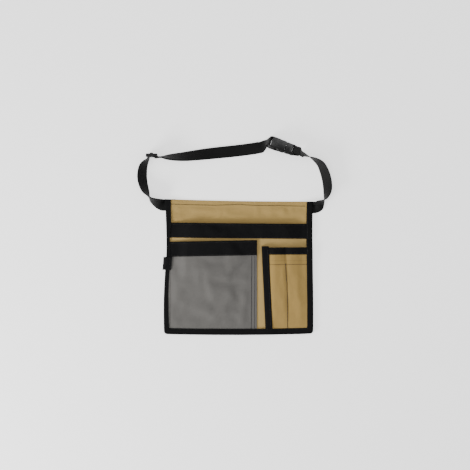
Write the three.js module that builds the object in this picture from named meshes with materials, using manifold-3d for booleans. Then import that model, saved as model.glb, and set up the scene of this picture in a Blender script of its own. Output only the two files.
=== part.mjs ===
// A carpenter's nail apron, lying on its back with its belt fastened in a loop beyond its top edge.
// Millimetres, +Z up, +Y towards the belt. The origin is on the underside, in the middle of the back.

import * as THREE from 'three';
import Module from 'manifold-3d';
import { mergeVertices } from 'three/addons/utils/BufferGeometryUtils.js';

const wasm = await Module();
wasm.setup();
const { lerp, smoothstep, degToRad, clamp } = THREE.MathUtils;

// Cloth
const canvas = 1.0;
const tape = 0.8;
const webbing = 1.5;
const gap = 0.3;

// Apron
const apronWidth = 322;
const apronHeight = 292;
const cornerRadius = 7;
const hemDepth = 12;
const hemStep = 2;
const bindingWidth = 13.3;
const bindingBack = 0.85;

// Pockets
const bigMouthDrop = 53;
const mouthTape = 31;
const lipDepth = 7;
const bigRoom = 7;
const greyMouthDrop = 89.6;
const greyWidth = 199.5;
const greySeam = 13.5;
const greyRoom = 6;
const stripWidth = 11;
const pencilMouthDrop = 105;
const pencilTape = 14.2;
const pencilHead = 2.6;
const pencilSplit = 50;
const pencilHem = 36;
const pencilRoom = 7;
const pencilLean = 0.048;
const roomEase = 46;

// Tab in the left edge
const tabHeight = 28;
const tabProud = 6;
const tabFront = 12.7;

// Belt
const beltWidth = 25;
const beltTuck = 22;
const loopHeight = 138;

// Strap slide
const bar = 2.6;
const slideThick = 3;
const slideSlot = 6.9;
const slideRail = 3;
const slideSide = 3.8;
const slotPlay = 0.7;

// Buckle
const buckleHeading = -19.5;
const buckleLean = 45;
const socketLength = 38.5;
const plugLength = 22.2;
const socketWidth = 34;
const plugWidth = 31;
const buckleThick = 9;
const buckleEdge = 1.3;
const buckleWall = 3;
const roofWall = 1.7;
const strapSlot = 2.65;
const prongThick = 4.4;
const prongReach = 21;
const prongWidth = 3.4;
const windowLength = 12;
const partingGap = 0.4;

// Outline down the sides, as shares of half the apron's width, and the front of the left binding as a
// share of the binding's width
const sides = [
  { down: 0.00, left: 0.985, right: 0.986, front: 0.92 },
  { down: 0.18, left: 0.972, right: 0.979, front: 0.82 },
  { down: 0.30, left: 0.967, right: 0.980, front: 0.50 },
  { down: 0.40, left: 0.966, right: 0.982, front: 0.64 },
  { down: 0.55, left: 0.989, right: 0.986, front: 0.68 },
  { down: 0.70, left: 1.003, right: 0.990, front: 0.70 },
  { down: 0.85, left: 1.006, right: 0.992, front: 0.78 },
  { down: 1.00, left: 1.002, right: 0.990, front: 0.90 },
];

// How far the lines across the apron sag below level, as shares of its height
const sag = {
  top: { left: 0.000, middle: 0.0145, right: 0.018 },
  bottom: { left: 0.0065, middle: 0.000, right: 0.010 },
  bigMouth: { left: -0.005, middle: 0.001, right: 0.005 },
  greyMouth: { left: 0.012, middle: 0.001, right: -0.007 },
  pencilMouth: { left: 0.004, middle: 0.001, right: -0.001 },
};

// The belt's middle line on its way round the loop: across as a share of half the apron's width, up as
// a share of the loop's height, and the lean of the webbing from flat, in degrees
const leftBend = [
  { across: -1.020, up: -0.092, lean: 2 },
  { across: -1.058, up: -0.074, lean: 26 },
  { across: -1.114, up: -0.043, lean: 50 },
  { across: -1.158, up: -0.010, lean: 66 },
  { across: -1.198, up: 0.045, lean: 92 },
  { across: -1.243, up: 0.126, lean: 122 },
  { across: -1.277, up: 0.240, lean: 137 },
  { across: -1.291, up: 0.360, lean: 142 },
  { across: -1.277, up: 0.500, lean: 131 },
  { across: -1.237, up: 0.593, lean: 108 },
];
const topStretch = [
  { across: -1.040, up: 0.6465, lean: 86 },
  { across: -0.922, up: 0.648, lean: 62 },
  { across: -0.761, up: 0.656, lean: 44 },
  { across: -0.601, up: 0.676, lean: 31 },
  { across: -0.361, up: 0.710, lean: 15 },
  { across: -0.040, up: 0.750, lean: 2 },
  { across: 0.190, up: 0.785, lean: 2 },
  { across: 0.300, up: 0.808, lean: 14 },
];
const rightBend = [
  { across: 0.842, up: 0.697, lean: 64 },
  { across: 0.922, up: 0.661, lean: 82 },
  { across: 1.005, up: 0.616, lean: 102 },
  { across: 1.083, up: 0.547, lean: 121 },
  { across: 1.127, up: 0.454, lean: 132 },
  { across: 1.158, up: 0.350, lean: 137 },
  { across: 1.176, up: 0.240, lean: 137 },
  { across: 1.180, up: 0.145, lean: 131 },
  { across: 1.170, up: 0.067, lean: 117 },
  { across: 1.142, up: -0.007, lean: 92 },
  { across: 1.074, up: -0.073, lean: 45 },
  { across: 1.056, up: -0.108, lean: 24 },
  { across: 1.026, up: -0.1265, lean: 4 },
];
const slidePlace = { across: -1.158, up: 0.673 };
const bucklePlace = { across: 0.568, up: 0.818 };

const finishes = {
  tanCanvas: { color: 0xa88f5f, roughness: 0.92 },
  greyCanvas: { color: 0x74736f, roughness: 0.92 },
  blackTape: { color: 0x181818, roughness: 0.8 },
  blackWebbing: { color: 0x1c1c1c, roughness: 0.7 },
  blackPlastic: { color: 0x2e2e2e, roughness: 0.45 },
};

const apron = new THREE.Group();

function addPiece(name, geometry, finish, place = new THREE.Matrix4()) {
  const material = new THREE.MeshStandardMaterial({ ...finishes[finish], metalness: 0 });
  const mesh = new THREE.Mesh(geometry, material);
  mesh.name = name;
  mesh.applyMatrix4(place);
  apron.add(mesh);
}

// A closed wall between two faces, given as rows of point pairs, each with a front and a back
function wall(rows) {
  const wide = rows[0].length;
  const points = [...rows.flat().map((pair) => pair.front), ...rows.flat().map((pair) => pair.back)];
  const front = (j, i) => j * wide + i;
  const back = (j, i) => (rows.length + j) * wide + i;
  const index = [];
  const quad = (a, b, c, d) => index.push(a, b, c, a, c, d);
  const lastRow = rows.length - 1;
  const last = wide - 1;
  for (let j = 0; j < lastRow; j += 1) {
    for (let i = 0; i < last; i += 1) {
      quad(front(j, i), front(j, i + 1), front(j + 1, i + 1), front(j + 1, i));
      quad(back(j, i), back(j + 1, i), back(j + 1, i + 1), back(j, i + 1));
    }
    quad(front(j, 0), front(j + 1, 0), back(j + 1, 0), back(j, 0));
    quad(front(j + 1, last), front(j, last), back(j, last), back(j + 1, last));
  }
  for (let i = 0; i < last; i += 1) {
    quad(front(0, i + 1), front(0, i), back(0, i), back(0, i + 1));
    quad(front(lastRow, i), front(lastRow, i + 1), back(lastRow, i + 1), back(lastRow, i));
  }
  let volume = 0;
  for (let k = 0; k < index.length; k += 3) {
    const [a, b, c] = [points[index[k]], points[index[k + 1]], points[index[k + 2]]];
    volume += a.dot(new THREE.Vector3().crossVectors(b, c));
  }
  if (volume < 0) index.reverse();
  const geometry = new THREE.BufferGeometry();
  geometry.setAttribute('position', new THREE.Float32BufferAttribute(points.flatMap((p) => p.toArray()), 3));
  geometry.setIndex(index);
  return geometry;
}

// A value of a table between its rows, which are in order of the key
function tableValue(table, key, at, name) {
  const next = clamp(table.filter((entry) => entry[key] < at).length, 1, table.length - 1);
  const [before, after] = [table[next - 1], table[next]];
  const share = clamp((at - before[key]) / (after[key] - before[key]), 0, 1);
  return lerp(before[name], after[name], share);
}

// The apron's construction lines. Columns run down it and give x for a y, rows run across it and give y
// for an x. Every sheet of cloth has its corners where they cross, so that layers lie parallel.
const fold = tape + gap;
const half = apronWidth / 2;
const downTo = (y) => 0.5 - y / apronHeight;
const leftX = (y) => -half * tableValue(sides, 'down', downTo(y), 'left');
const rightX = (y) => half * tableValue(sides, 'down', downTo(y), 'right');
const leftFront = (y) => bindingWidth * tableValue(sides, 'down', downTo(y), 'front');

function sagAt(line, x) {
  const { left, middle, right } = sag[line];
  const u = x / half;
  return apronHeight * (middle + (right - left) / 2 * u + ((left + right) / 2 - middle) * u * u);
}

const topY = (x) => apronHeight / 2 - sagAt('top', x);
const bottomY = (x) => -apronHeight / 2 + sagAt('bottom', x);
const bigMouthY = (x) => apronHeight / 2 - bigMouthDrop - sagAt('bigMouth', x);
const greyMouthY = (x) => apronHeight / 2 - greyMouthDrop - sagAt('greyMouth', x);
const pencilMouthY = (x) => apronHeight / 2 - pencilMouthDrop - sagAt('pencilMouth', x);
const greyX = -half + greyWidth;
const pencilX = (y) => greyX + stripWidth + pencilLean * (apronHeight / 2 - pencilMouthDrop - y);
const isLeft = (x) => x < greyX + stripWidth / 2;

function addLine(lines, names, name, line, between = 0) {
  const last = lines[lines.length - 1];
  for (let i = 1; i <= between; i += 1) {
    lines.push((at) => lerp(last(at), line(at), i / (between + 1)));
  }
  names[name] = lines.push(line) - 1;
}

const columns = [];
const col = {};
addLine(columns, col, 'leftEdge', (y) => leftX(y) + fold);
addLine(columns, col, 'leftFront', (y) => leftX(y) + leftFront(y));
addLine(columns, col, 'beltLeft', (y) => leftX(y) + beltTuck + hemStep);
addLine(columns, col, 'greySeam', () => greyX - greySeam, 6);
addLine(columns, col, 'greyEdge', () => greyX);
addLine(columns, col, 'pencilEdge', pencilX);
addLine(columns, col, 'pencilFront', (y) => pencilX(y) + pencilTape);
addLine(columns, col, 'divider', (y) => pencilX(y) + pencilSplit, 3);
addLine(columns, col, 'beltRight', (y) => rightX(y) - beltTuck - hemStep, 2);
addLine(columns, col, 'rightFront', (y) => rightX(y) - bindingWidth);
addLine(columns, col, 'rightEdge', (y) => rightX(y) - fold);

const tapeFootY = (x) => (isLeft(x) ? greyMouthY(x) - mouthTape : pencilMouthY(x) - pencilTape);
const pencilHemY = (x) => (isLeft(x) ? tapeFootY(x) - tabHeight / 2 : pencilMouthY(x) - pencilHem);
const rows = [];
const row = {};
addLine(rows, row, 'top', topY);
addLine(rows, row, 'hem', (x) => topY(x) - hemDepth);
addLine(rows, row, 'hemEnd', (x) => topY(x) - hemDepth - hemStep);
addLine(rows, row, 'beltSeat', (x) => topY(x) - beltWidth - hemStep);
addLine(rows, row, 'bigMouth', bigMouthY);
addLine(rows, row, 'bigTape', (x) => bigMouthY(x) - mouthTape);
addLine(rows, row, 'greyMouth', greyMouthY);
addLine(rows, row, 'pencilMouth', (x) => (isLeft(x) ? greyMouthY(x) - mouthTape / 2 : pencilMouthY(x)));
addLine(rows, row, 'tapeFoot', tapeFootY);
addLine(rows, row, 'pencilHem', pencilHemY);
addLine(rows, row, 'tabFoot', (x) => pencilHemY(x) - tabHeight / 2);
addLine(rows, row, 'bottomFront', (x) => bottomY(x) + bindingWidth, 4);
addLine(rows, row, 'bottomEdge', (x) => bottomY(x) + fold);

function crossing(c, r) {
  let y = rows[r](0);
  let x = columns[c](y);
  for (let turn = 0; turn < 4; turn += 1) {
    y = rows[r](x);
    x = columns[c](y);
  }
  return new THREE.Vector2(x, y);
}

const places = columns.map((_, c) => rows.map((__, r) => crossing(c, r)));

// The bottom corners of the cloth follow the round of the binding
for (const [c, side] of [[col.leftEdge, 1], [col.rightEdge, -1]]) {
  const inset = (cornerRadius - fold) * (1 - Math.SQRT1_2);
  places[c][row.bottomEdge].add(new THREE.Vector2(side * inset, inset));
}

// Heights of what lies at each crossing so far. Each layer is laid on it with the gap between.
let height = columns.map(() => rows.map(() => -gap));
const within = (left, right, top, foot) => (c, r) => c >= left && c <= right && r >= top && r <= foot;
const heightNow = () => height.map((line) => [...line]);

function raise(inside, thickness) {
  height = height.map((line, c) => line.map((z, r) => (inside(c, r) ? z + gap + thickness(c, r) : z)));
}

// A sheet between two columns and two rows. The room is how far it stands off what it lies on.
function laySheet([left, right, top, foot], thickness, room = () => 0) {
  const sheet = { left, right, top, foot, pairs: {} };
  for (let r = top; r <= foot; r += 1) {
    for (let c = left; c <= right; c += 1) {
      const { x, y } = places[c][r];
      const under = height[c][r] + gap + room(x, y);
      height[c][r] = under + thickness(c, r);
      const pair = { front: new THREE.Vector3(x, y, height[c][r]), back: new THREE.Vector3(x, y, under) };
      sheet.pairs[`${c},${r}`] = pair;
    }
  }
  return sheet;
}

function sheetWall(sheet) {
  const lines = [];
  for (let r = sheet.top; r <= sheet.foot; r += 1) {
    const line = [];
    for (let c = sheet.left; c <= sheet.right; c += 1) line.push(sheet.pairs[`${c},${r}`]);
    lines.push(line);
  }
  return wall(lines);
}

const pointAt = (place, z) => new THREE.Vector3(place.x, place.y, z);

// Tape sewn over a pocket's mouth: its front lies on the pocket, and a lip is turned in behind the edge
function mouthTapeWall(pocket, front) {
  const lines = [];
  for (let c = front.left; c <= front.right; c += 1) {
    const line = [];
    for (let r = front.foot; r > front.top; r -= 1) line.push(front.pairs[`${c},${r}`]);
    const mouth = front.pairs[`${c},${front.top}`];
    const below = front.pairs[`${c},${front.top + 1}`];
    const out = new THREE.Vector3(mouth.back.x - below.back.x, mouth.back.y - below.back.y, 0);
    const share = lipDepth / out.length();
    out.normalize();
    const edge = pocket.pairs[`${c},${front.top}`].back;
    const end = edge.clone().lerp(pocket.pairs[`${c},${front.top + 1}`].back, share);
    const step = (point, along, z) => point.clone().addScaledVector(out, along).setZ(z);
    const [top, under, lip, lipEnd] = [mouth.front.z, mouth.back.z, edge.z - gap, end.z - gap];
    line.push({ front: step(mouth.front, gap, top), back: mouth.back });
    line.push({ front: step(edge, fold, top - tape / 2), back: step(edge, gap, under - gap / 2) });
    line.push({ front: step(edge, fold, lip - tape / 2), back: step(edge, gap, lip + gap / 2) });
    line.push({ front: step(edge, gap, lip - tape), back: step(edge, 0, lip) });
    line.push({ front: pointAt(end, lipEnd - tape), back: pointAt(end, lipEnd) });
    lines.push(line);
  }
  return wall(lines);
}

// Tape folded round an edge. A station has the fold's and the front edge's place, and the heights there
// of the tape's underside and of its top.
function foldedTapeWall(stations, backShare) {
  const soft = tape / 2;
  return wall(stations.map(({ outer, inner, low, lowIn, high, highIn }) => {
    const span = new THREE.Vector2().subVectors(inner, outer);
    const width = span.length();
    const backWidth = width * backShare;
    const lowBack = lerp(low, lowIn, (backWidth - fold) / (width - fold));
    span.normalize();
    const point = (along, z) => pointAt(outer.clone().addScaledVector(span, along), z);
    return [
      { front: point(backWidth, lowBack), back: point(backWidth, lowBack + tape) },
      { front: point(soft, low), back: point(fold, low + tape) },
      { front: point(0, low + soft), back: point(tape, low + fold) },
      { front: point(0, high - soft), back: point(tape, high - fold) },
      { front: point(soft, high), back: point(fold, high - tape) },
      { front: point(width, highIn), back: point(width, highIn - tape) },
    ];
  }));
}

// How much a pocket stands open at a place: full at its mouth, closing towards its seams
function pocketRoom(room, leftAt, rightAt, mouthAt) {
  return (x, y) => {
    const toSide = Math.min(x - leftAt(y), rightAt(y) - x);
    const toFoot = y - bottomY(x) - bindingWidth;
    const long = mouthAt(x) - bottomY(x) - bindingWidth;
    return room * smoothstep(toSide, 0, roomEase) * smoothstep(toFoot / long, 0, 0.6);
  };
}

// A channel bulges in a half circle between its two seams
function pencilRoomAt(x, y) {
  const [from, middle, to] = [pencilX(y) + pencilTape, pencilX(y) + pencilSplit, rightX(y) - bindingWidth];
  const share = x < middle ? (x - from) / (middle - from) : (x - middle) / (to - middle);
  const toFoot = y - bottomY(x) - bindingWidth;
  return pencilRoom * Math.sin(Math.PI * clamp(share, 0, 1)) * smoothstep(toFoot, 0, roomEase);
}

const { leftEdge, rightEdge, greyEdge, pencilEdge, pencilFront } = col;
const { bottomEdge, bottomFront } = row;
const onBinding = (c, r) => c <= col.leftFront || c >= col.rightFront || r >= bottomFront;
const onTab = within(leftEdge, col.leftFront, row.tapeFoot, row.tabFoot);
const allCanvas = () => canvas;
const allTape = () => tape;

// The layers from the surface up: the belt's ends and the tab's back, then the apron's own
raise(within(leftEdge, col.beltLeft, row.top, row.beltSeat), () => webbing);
raise(within(col.beltRight, rightEdge, row.top, row.beltSeat), () => webbing);
raise(onTab, allTape);
const underBinding = heightNow();
raise(onBinding, allTape);

const backThickness = (c, r) => (r <= row.hem ? 2 * canvas : canvas);
const back = laySheet([leftEdge, rightEdge, row.top, bottomEdge], backThickness);
addPiece('back_panel', sheetWall(back), 'tanCanvas');

const bigTapeArea = [leftEdge, rightEdge, row.bigMouth, row.bigTape];
raise(within(...bigTapeArea), allTape);
const bigLeft = (y) => leftX(y) + leftFront(y);
const bigRight = (y) => rightX(y) - bindingWidth;
const bigInside = pocketRoom(bigRoom, bigLeft, bigRight, bigMouthY);
const bigPocket = laySheet([leftEdge, rightEdge, row.bigMouth, bottomEdge], allCanvas, bigInside);
addPiece('big_pocket', sheetWall(bigPocket), 'tanCanvas');
addPiece('big_pocket_tape', mouthTapeWall(bigPocket, laySheet(bigTapeArea, allTape)), 'blackTape');

const greyTapeArea = [leftEdge, greyEdge, row.greyMouth, row.tapeFoot];
raise(within(...greyTapeArea), allTape);
const greyInside = pocketRoom(greyRoom, (y) => leftX(y) + leftFront(y), () => greyX - greySeam, greyMouthY);
const greyPocket = laySheet([leftEdge, greyEdge, row.greyMouth, bottomEdge], allCanvas, greyInside);
addPiece('grey_pocket', sheetWall(greyPocket), 'greyCanvas');
addPiece('grey_pocket_tape', mouthTapeWall(greyPocket, laySheet(greyTapeArea, allTape)), 'blackTape');

const underSideTape = heightNow();
const sideTapeArea = [pencilEdge, pencilFront, row.pencilMouth, bottomEdge];
raise(within(...sideTapeArea), allTape);
const topTapeArea = [pencilEdge, rightEdge, row.pencilMouth, row.tapeFoot];
raise(within(...topTapeArea), allTape);
const pencilThickness = (c, r) => (r <= row.pencilHem ? 2 * canvas : canvas);
const pencilArea = [pencilEdge, rightEdge, row.pencilMouth, bottomEdge];
const pencilPocket = laySheet(pencilArea, pencilThickness, pencilRoomAt);
addPiece('pencil_pocket', sheetWall(pencilPocket), 'tanCanvas');
const topTapeSheet = laySheet(topTapeArea, allTape);
addPiece('pencil_pocket_top_binding', mouthTapeWall(pencilPocket, topTapeSheet), 'blackTape');

// The side binding covers the end of the top one and stands a little above it
raise(within(...sideTapeArea), allTape);
const sideStations = [];
for (let r = row.pencilMouth; r <= bottomEdge; r += 1) {
  const [edge, inner] = [places[pencilEdge][r], places[pencilFront][r]];
  const span = new THREE.Vector2().subVectors(inner, edge).normalize();
  sideStations.push({
    outer: edge.clone().addScaledVector(span, -fold),
    inner: inner.clone(),
    low: underSideTape[pencilEdge][r] + gap,
    lowIn: underSideTape[pencilFront][r] + gap,
    high: height[pencilEdge][r],
    highIn: height[pencilFront][r],
  });
}
const headStation = { ...sideStations[0] };
const headRise = new THREE.Vector2(0, pencilHead + fold);
headStation.outer = headStation.outer.clone().add(headRise);
headStation.inner = headStation.inner.clone().add(headRise);
addPiece('pencil_pocket_side_binding', foldedTapeWall([headStation, ...sideStations], 0.6), 'blackTape');

// The edge binding runs down the left side, round the bottom corners and up the right side
raise(onBinding, allTape);
const bindingStations = [];
const bindingHeights = (cOut, rOut, cIn, rIn) => ({
  low: underBinding[cOut][rOut] + gap,
  lowIn: underBinding[cIn][rIn] + gap,
  high: height[cOut][rOut],
  highIn: height[cIn][rIn],
});

function sideStation(edgeColumn, frontColumn, edgeX, r) {
  const { y } = places[edgeColumn][r];
  const ends = { outer: new THREE.Vector2(edgeX(y), y), inner: places[frontColumn][r] };
  bindingStations.push({ ...ends, ...bindingHeights(edgeColumn, r, frontColumn, r) });
}

function cornerStations(edgeColumn, frontColumn, edgeX, side) {
  const cornerX = edgeX(-apronHeight / 2);
  const centre = new THREE.Vector2(cornerX + side * cornerRadius, bottomY(cornerX) + cornerRadius);
  const innerRadius = 1;
  const turn = new THREE.Vector2(side * innerRadius, innerRadius).add(places[frontColumn][bottomFront]);
  const steps = 4;
  for (let k = 0; k <= steps; k += 1) {
    const angle = degToRad(90 * (side > 0 ? 2 + k / steps : 3 + k / steps));
    const ray = new THREE.Vector2(Math.cos(angle), Math.sin(angle));
    bindingStations.push({
      outer: centre.clone().addScaledVector(ray, cornerRadius),
      inner: turn.clone().addScaledVector(ray, innerRadius),
      ...bindingHeights(edgeColumn, bottomEdge, frontColumn, bottomFront),
    });
  }
}

for (let r = row.top; r < bottomFront; r += 1) sideStation(leftEdge, col.leftFront, leftX, r);
cornerStations(leftEdge, col.leftFront, leftX, 1);
for (let c = col.leftFront + 1; c < col.rightFront; c += 1) {
  const { x } = places[c][bottomEdge];
  const ends = { outer: new THREE.Vector2(x, bottomY(x)), inner: places[c][bottomFront] };
  bindingStations.push({ ...ends, ...bindingHeights(c, bottomEdge, c, bottomFront) });
}
cornerStations(rightEdge, col.rightFront, rightX, -1);
for (let r = bottomFront - 1; r >= row.top; r -= 1) sideStation(rightEdge, col.rightFront, rightX, r);
addPiece('edge_binding', foldedTapeWall(bindingStations, bindingBack), 'blackTape');

// The tab is a loop of tape sewn over the binding, its fold pinched outside the edge
const tabRows = [];
for (let r = row.tapeFoot; r <= row.tabFoot; r += 1) {
  const { y } = places[leftEdge][r];
  const edge = leftX(y);
  const frontAt = leftFront(y);
  const high = height[leftEdge][r] + fold;
  const highFront = height[col.leftFront][r] + fold;
  const rise = Math.max(0, height[col.beltLeft][r] - height[col.leftFront][r] + fold);
  const toBelt = beltTuck + hemStep - frontAt;
  const highEnd = highFront + rise * (tabFront - frontAt) / toBelt;
  const middle = high / 2;
  const point = (along, z) => new THREE.Vector3(edge + along, y, z);
  tabRows.push([
    { front: point(tabFront, highEnd), back: point(tabFront, highEnd - tape) },
    { front: point(frontAt, highFront), back: point(frontAt, highFront - tape) },
    { front: point(-fold, high), back: point(-gap, high - tape) },
    { front: point(tape - tabProud, middle + fold), back: point(2 * tape - tabProud, middle + gap) },
    { front: point(-tabProud, middle), back: point(tape - tabProud, middle) },
    { front: point(tape - tabProud, middle - fold), back: point(2 * tape - tabProud, middle - gap) },
    { front: point(-fold, 0), back: point(-gap, tape) },
    { front: point(frontAt / 2, 0), back: point(frontAt / 2, tape) },
  ]);
}
addPiece('edge_tab', wall(tabRows), 'blackTape');

// Webbing through a list of stations, each with its middle point and the direction of its width. What
// would dip under the surface at a bend lies on it.
function webbingWall(stations) {
  return wall(stations.map(({ point, across }, i) => {
    const before = stations[Math.max(i - 1, 0)].point;
    const after = stations[Math.min(i + 1, stations.length - 1)].point;
    const along = new THREE.Vector3().subVectors(after, before).normalize();
    const through = new THREE.Vector3().crossVectors(across, along).normalize();
    const wide = new THREE.Vector3().crossVectors(along, through).normalize();
    const pairs = [-1, 1].map((side) => {
      const edge = point.clone().addScaledVector(wide, side * beltWidth / 2);
      return {
        front: edge.clone().addScaledVector(through, webbing / 2),
        back: edge.clone().addScaledVector(through, -webbing / 2),
      };
    });
    const corners = pairs.flatMap(({ front, back }) => [front, back]);
    const lift = Math.max(0, -Math.min(...corners.map(({ z }) => z)));
    corners.forEach((corner) => corner.setZ(corner.z + lift));
    return pairs;
  }));
}

// The frame of a strap or buckle that runs along a heading and leans from flat by an angle. Its width
// points into the loop and its third axis out of the surface that shows.
function strapFrame(heading, lean) {
  const inwards = new THREE.Vector3(Math.sin(heading), -Math.cos(heading), 0);
  const across = inwards.multiplyScalar(Math.cos(lean)).setZ(Math.sin(lean));
  const along = new THREE.Vector3(Math.cos(heading), Math.sin(heading), 0);
  return { along, across, outwards: new THREE.Vector3().crossVectors(across, along) };
}

const routePlace = ({ across, up }) => new THREE.Vector2(across * half, apronHeight / 2 + up * loopHeight);

// Stations of a strap whose lower edge lies on the surface. Two layers have their middle between them.
function lyingStations(table, layerOffset, stepsPerRow) {
  const knots = table.map((entry) => {
    const { x, y } = routePlace(entry);
    return new THREE.Vector3(x, y, entry.lean);
  });
  const curve = new THREE.CatmullRomCurve3(knots, false, 'catmullrom', 0.5);
  const steps = (table.length - 1) * stepsPerRow;
  const stations = [];
  for (let k = 0; k <= steps; k += 1) {
    const { x, y, z } = curve.getPoint(k / steps);
    const slope = curve.getTangent(k / steps);
    const lean = degToRad(z);
    const frame = strapFrame(Math.atan2(slope.y, slope.x), lean);
    const byWidth = Math.abs(Math.sin(lean)) * beltWidth / 2;
    const byLayers = Math.abs(Math.cos(lean)) * (layerOffset + webbing / 2);
    stations.push({ point: new THREE.Vector3(x, y, byWidth + byLayers), ...frame });
  }
  return stations;
}

const layerOffset = (webbing + gap) / 2;
const moved = ({ point, across, outwards }, offset) => ({
  point: point.clone().addScaledVector(outwards, offset),
  across,
});

// Place in the plane across a bar, from a frame's origin
function local(frame, along, out) {
  const point = frame.origin.clone().addScaledVector(frame.along, along).addScaledVector(frame.outwards, out);
  return { point, across: frame.across };
}

// The slide stands on its long edge, square to the surface
const slideReach = Math.hypot(bar, slideThick) / 2 + gap + webbing / 2;
const outerReach = slideReach + webbing + gap;
const underBar = slideThick / 2 + 2 * gap + webbing / 2;
const slideWidth = beltWidth + 2 * slotPlay + 2 * slideRail;
const slideLength = bar + 2 * slideSlot + 2 * slideSide;
const slideFrame = strapFrame(0, Math.PI / 2);
slideFrame.origin = pointAt(routePlace(slidePlace), slideWidth / 2);

// The buckle leans on its outer long edge, with its strap bars across its two ends
const barReach = bar * Math.SQRT1_2 + gap + webbing / 2;
const buckleFrame = strapFrame(degToRad(buckleHeading), degToRad(buckleLean));
const buckleLift = Math.sin(degToRad(buckleLean)) * socketWidth / 2
  + Math.cos(degToRad(buckleLean)) * buckleThick / 2;
buckleFrame.origin = pointAt(routePlace(bucklePlace), buckleLift);
const partingAlong = (socketLength - plugLength) / 2;
const socketBar = partingAlong - socketLength + bar;
const plugBar = partingAlong + plugLength - bar;

// Two layers of webbing come up to a bar of the buckle at a tilt from its plane, and part round it. The
// side is 1 where the strap goes along the buckle and -1 where it comes back.
function barTurn(frame, { at, side, tilt }, runs) {
  const angle = degToRad(tilt);
  const stationAt = (toBar, outwards) => local(
    frame,
    at + side * (toBar * Math.cos(angle) - outwards * Math.sin(angle)),
    toBar * Math.sin(angle) + outwards * Math.cos(angle),
  );
  const layer = (sign) => runs.map(({ before, spread }) => {
    return stationAt(-before, sign * lerp(layerOffset, barReach, spread));
  });
  const turn = [];
  const steps = 6;
  for (let k = 0; k <= steps; k += 1) {
    const turned = Math.PI * k / steps;
    turn.push(stationAt(Math.sin(turned) * barReach, Math.cos(turned) * barReach));
  }
  return [...layer(1), ...turn, ...layer(-1).reverse()];
}

const onCircle = (radius, degrees) => {
  const angle = degToRad(degrees);
  return local(slideFrame, radius * Math.cos(angle), radius * Math.sin(angle));
};
const slotMiddle = bar / 2 + slideSlot * 0.82;
const slideExit = slideLength / 2 + webbing;

const cornerLeft = new THREE.Vector2(leftX(apronHeight / 2), topY(-half) - beltWidth / 2 - gap);
const flatEnd = (x, y) => ({ point: new THREE.Vector3(x, y, webbing / 2), ...strapFrame(Math.PI, 0) });

const leftStations = lyingStations(leftBend, 0, 3);
const topStations = lyingStations(topStretch, layerOffset, 3);
const socketTurn = barTurn(buckleFrame, { at: socketBar, side: 1, tilt: 55 }, [
  { before: beltWidth * 0.32, spread: 0.2 },
  { before: beltWidth * 0.16, spread: 0.7 },
]);
const longStations = [
  flatEnd(cornerLeft.x + beltTuck, cornerLeft.y),
  flatEnd(cornerLeft.x + gap, cornerLeft.y),
  ...leftStations,
  local(slideFrame, -slotMiddle - gap, -underBar - webbing),
  ...[178, 150, 120, 90, 60, 30, 2].map((degrees) => onCircle(outerReach, degrees)),
  local(slideFrame, slotMiddle, -underBar),
  local(slideFrame, slideExit, -underBar - gap),
  ...topStations.map((station) => moved(station, layerOffset)),
  ...socketTurn,
  ...topStations.map((station) => moved(station, -layerOffset)).reverse(),
  local(slideFrame, slideExit, -underBar - gap - webbing - gap),
  local(slideFrame, slotMiddle, -underBar - webbing - gap - gap),
  ...[-40, -15, 15, 45, 75, 105, 135, 165, 195, 220].map((degrees) => onCircle(slideReach, degrees)),
];
addPiece('long_strap', webbingWall(longStations), 'blackWebbing');

const cornerRight = new THREE.Vector2(rightX(apronHeight / 2), topY(half) - beltWidth / 2 - gap);
const rightStations = lyingStations(rightBend, 0, 3);
const plugTurn = barTurn(buckleFrame, { at: plugBar, side: -1, tilt: -8 }, [
  { before: beltWidth * 0.52, spread: 0.1 },
  { before: beltWidth * 0.24, spread: 0.6 },
]);
const shortStations = [
  ...plugTurn.reverse(),
  ...rightStations,
  flatEnd(cornerRight.x - gap, cornerRight.y),
  flatEnd(cornerRight.x - beltTuck, cornerRight.y),
];
addPiece('short_strap', webbingWall(shortStations), 'blackWebbing');

// Moulded pieces are drawn with x along the strap and y across it, and are cut and joined as solids
function toSolid(geometry) {
  const bare = geometry.clone();
  bare.deleteAttribute('normal');
  bare.deleteAttribute('uv');
  const merged = mergeVertices(bare, 1e-4);
  return new wasm.Manifold(new wasm.Mesh({
    numProp: 3,
    vertProperties: new Float32Array(merged.attributes.position.array),
    triVerts: new Uint32Array(merged.index.array),
  }));
}

function toGeometry(solid) {
  const mesh = solid.getMesh();
  const geometry = new THREE.BufferGeometry();
  geometry.setAttribute('position', new THREE.BufferAttribute(new Float32Array(mesh.vertProperties), 3));
  geometry.setIndex(new THREE.BufferAttribute(new Uint32Array(mesh.triVerts), 1));
  return geometry;
}

function slab(shape, thickness, bevel) {
  const geometry = new THREE.ExtrudeGeometry(shape, {
    depth: thickness - 2 * bevel,
    bevelEnabled: bevel > 0,
    bevelThickness: bevel,
    bevelSize: bevel,
    bevelOffset: -bevel,
    bevelSegments: 2,
    curveSegments: 3,
  });
  return toSolid(geometry.translate(0, 0, -thickness / 2 + bevel));
}

function block(x0, x1, y0, y1, z0, z1) {
  const box = new THREE.BoxGeometry(x1 - x0, y1 - y0, z1 - z0);
  return toSolid(box.translate((x0 + x1) / 2, (y0 + y1) / 2, (z0 + z1) / 2));
}

// A plate outline along the strap, the same on both sides, from a table of half widths
function platePlan(outline) {
  const shape = new THREE.Shape();
  shape.moveTo(outline[0].along, -outline[0].half);
  for (const { along, half: wide } of outline.slice(1)) shape.lineTo(along, -wide);
  for (const { along, half: wide } of outline.toReversed()) shape.lineTo(along, wide);
  shape.closePath();
  return shape;
}

function frameMatrix({ along, across, origin }) {
  const up = new THREE.Vector3().crossVectors(along, across);
  return new THREE.Matrix4().makeBasis(along, across, up).setPosition(origin);
}

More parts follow.
